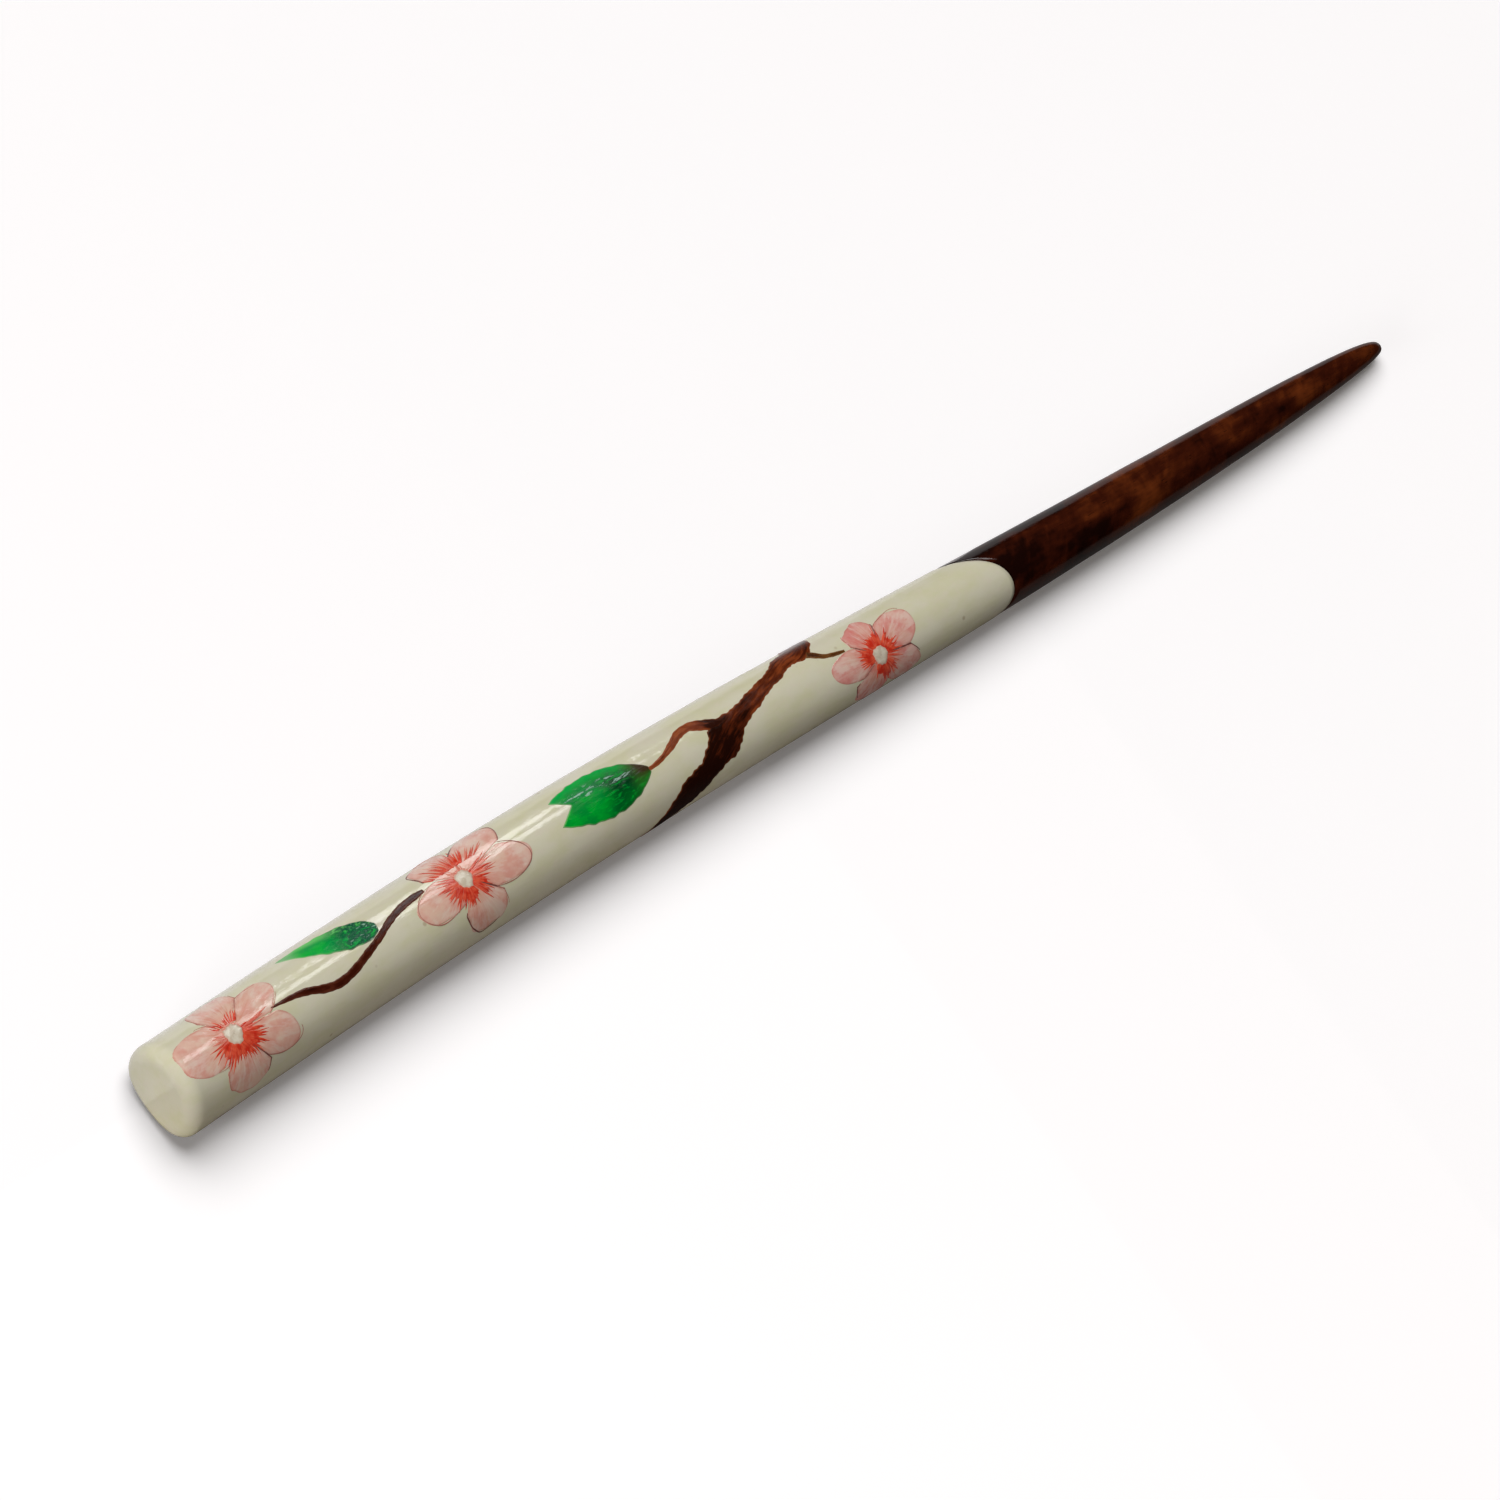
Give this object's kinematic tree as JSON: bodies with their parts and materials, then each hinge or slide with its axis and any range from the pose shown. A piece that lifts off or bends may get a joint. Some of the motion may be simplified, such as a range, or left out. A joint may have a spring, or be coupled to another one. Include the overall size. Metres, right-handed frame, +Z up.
{
  "type": "hair stick",
  "caption": "Tapered wooden hair stick with a round-topped, flat-backed grip, cream painted and decorated with blossom, leaves and a bough, and a bare pointed tip.",
  "frame": {"origin": "middle of the stick's box, on the plane of its flat back, where it rests on a table", "axes": "+X from the blunt head to the pointed tip, +Z up from the flat back to the ridge, +Y to the side that the stick bows toward"},
  "size_m": [0.18, 0.0106, 0.0087],
  "materials": {
    "stained_wood": "stained dark reddish brown under clear gloss varnish, faint cross figure",
    "cream_coat": "cream brushed ground coat under clear gloss varnish",
    "petal_paint": "thin pink wash with streaks under clear gloss varnish",
    "vermilion_paint": "radiating brush strokes under clear gloss varnish",
    "cream_dab": "thick dab of cream paint under clear gloss varnish",
    "leaf_paint": "thick green paint with darker strokes under clear gloss varnish",
    "bark_paint": "dark brown brush strokes with reddish edges under clear gloss varnish"
  },
  "bodies": {
    "root": {"wood_shaft": "stained_wood", "cream_coat": "cream_coat", "blossom_1_petal_1": "petal_paint", "blossom_1_petal_2": "petal_paint", "blossom_1_petal_3": "petal_paint", "blossom_1_petal_4": "petal_paint", "blossom_1_petal_5": "petal_paint", "blossom_1_flare": "vermilion_paint", "blossom_1_centre": "cream_dab", "blossom_2_petal_1": "petal_paint", "blossom_2_petal_2": "petal_paint", "blossom_2_petal_3": "petal_paint", "blossom_2_petal_4": "petal_paint", "blossom_2_petal_5": "petal_paint", "blossom_2_flare": "vermilion_paint", "blossom_2_centre": "cream_dab", "blossom_3_petal_1": "petal_paint", "blossom_3_petal_2": "petal_paint", "blossom_3_petal_3": "petal_paint", "blossom_3_petal_4": "petal_paint", "blossom_3_petal_5": "petal_paint", "blossom_3_flare": "vermilion_paint", "blossom_3_centre": "cream_dab", "leaf_small": "leaf_paint", "leaf_large": "leaf_paint", "bough": "bark_paint", "twig_long": "bark_paint", "twig_short": "bark_paint", "twig_tip": "bark_paint"}
  },
  "joints": []
}
